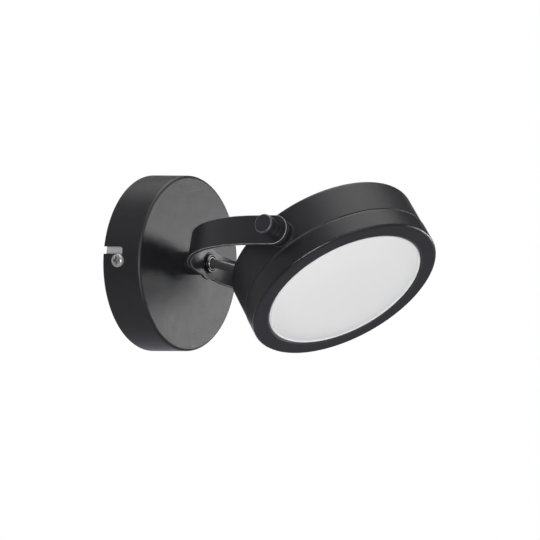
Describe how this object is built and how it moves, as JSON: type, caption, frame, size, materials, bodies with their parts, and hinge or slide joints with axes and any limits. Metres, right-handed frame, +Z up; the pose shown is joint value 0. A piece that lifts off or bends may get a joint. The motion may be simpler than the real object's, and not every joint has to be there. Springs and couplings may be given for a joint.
{
  "type": "wall spotlight",
  "caption": "Black wall spotlight: round canopy, U-shaped strap yoke that swivels on a hollow nipple, and a flat round head with an opal front that tilts on thumb screws.",
  "frame": {"origin": "centre of the canopy's back, on the wall plane and on the swivel axis", "axes": "+X to the right when facing the wall, +Y into the wall, +Z up; the lamp stands out along -Y"},
  "size_m": [0.1426, 0.1692, 0.1],
  "materials": {
    "satin_black": "satin powder coat",
    "knob_black": "satin black with worn chamfers",
    "zinc_plate": "zinc plated",
    "bright_steel": "bright nickel plate",
    "dark_steel": "blackened",
    "black_nylon": "moulded nylon",
    "white_plastic": "moulded",
    "white_board": "white solder mask",
    "brass_screw": "plain brass",
    "brown_core": "insulation",
    "blue_core": "insulation",
    "green_core": "insulation",
    "black_flex": "smooth sheath",
    "black_rubber": "matte",
    "opal": "opal satin acrylic"
  },
  "bodies": {
    "base": {"base_canopy": "satin_black", "wall_bracket": "zinc_plate", "left_canopy_screw": "bright_steel", "right_canopy_screw": "bright_steel", "stem": "satin_black", "nipple": "bright_steel", "rear_washer": "bright_steel", "rear_nut": "bright_steel", "swivel_washer": "black_nylon", "front_washer": "dark_steel", "front_nut": "bright_steel", "terminal_block": "white_plastic", "clamp_screw_1": "brass_screw", "clamp_screw_2": "brass_screw", "earth_lug": "brass_screw", "earth_screw": "bright_steel", "live_core": "brown_core", "neutral_core": "blue_core", "earth_core": "green_core"},
    "yoke": {"yoke": "satin_black", "flex": "black_flex"},
    "head": {"head_shell": "satin_black", "front_bezel": "satin_black", "diffuser": "opal", "diffuser_gasket": "black_rubber", "reflector": "white_plastic", "led_board": "white_board", "board_screw_1": "bright_steel", "board_screw_2": "bright_steel", "board_screw_3": "bright_steel", "led_driver": "white_plastic", "flex_grommet": "black_rubber", "left_collar": "satin_black", "right_collar": "satin_black", "left_tilt_washer": "black_nylon", "right_tilt_washer": "black_nylon", "left_pivot_nut": "bright_steel", "right_pivot_nut": "bright_steel"},
    "left_thumb": {"left_thumb_screw": "knob_black"},
    "right_thumb": {"right_thumb_screw": "knob_black"}
  },
  "joints": [
    {"name": "yoke_swivel", "type": "hinge", "parent": "base", "child": "yoke", "pos_m": [0, 0, 0], "axis": [0, 1, 0], "range_deg": [-176, 144]},
    {"name": "head_tilt", "type": "hinge", "parent": "yoke", "child": "head", "pos_m": [0, -0.1153, 0], "axis": [0.9588, 0, -0.284], "range_deg": [-92, 22], "deforming": ["flex"]},
    {"name": "left_thumb_turn", "type": "hinge", "parent": "head", "child": "left_thumb", "pos_m": [0, -0.1153, 0], "axis": [-0.9588, 0, 0.284], "range_deg": [0, 360]},
    {"name": "right_thumb_turn", "type": "hinge", "parent": "head", "child": "right_thumb", "pos_m": [0, -0.1153, 0], "axis": [0.9588, 0, -0.284], "range_deg": [0, 360]}
  ]
}
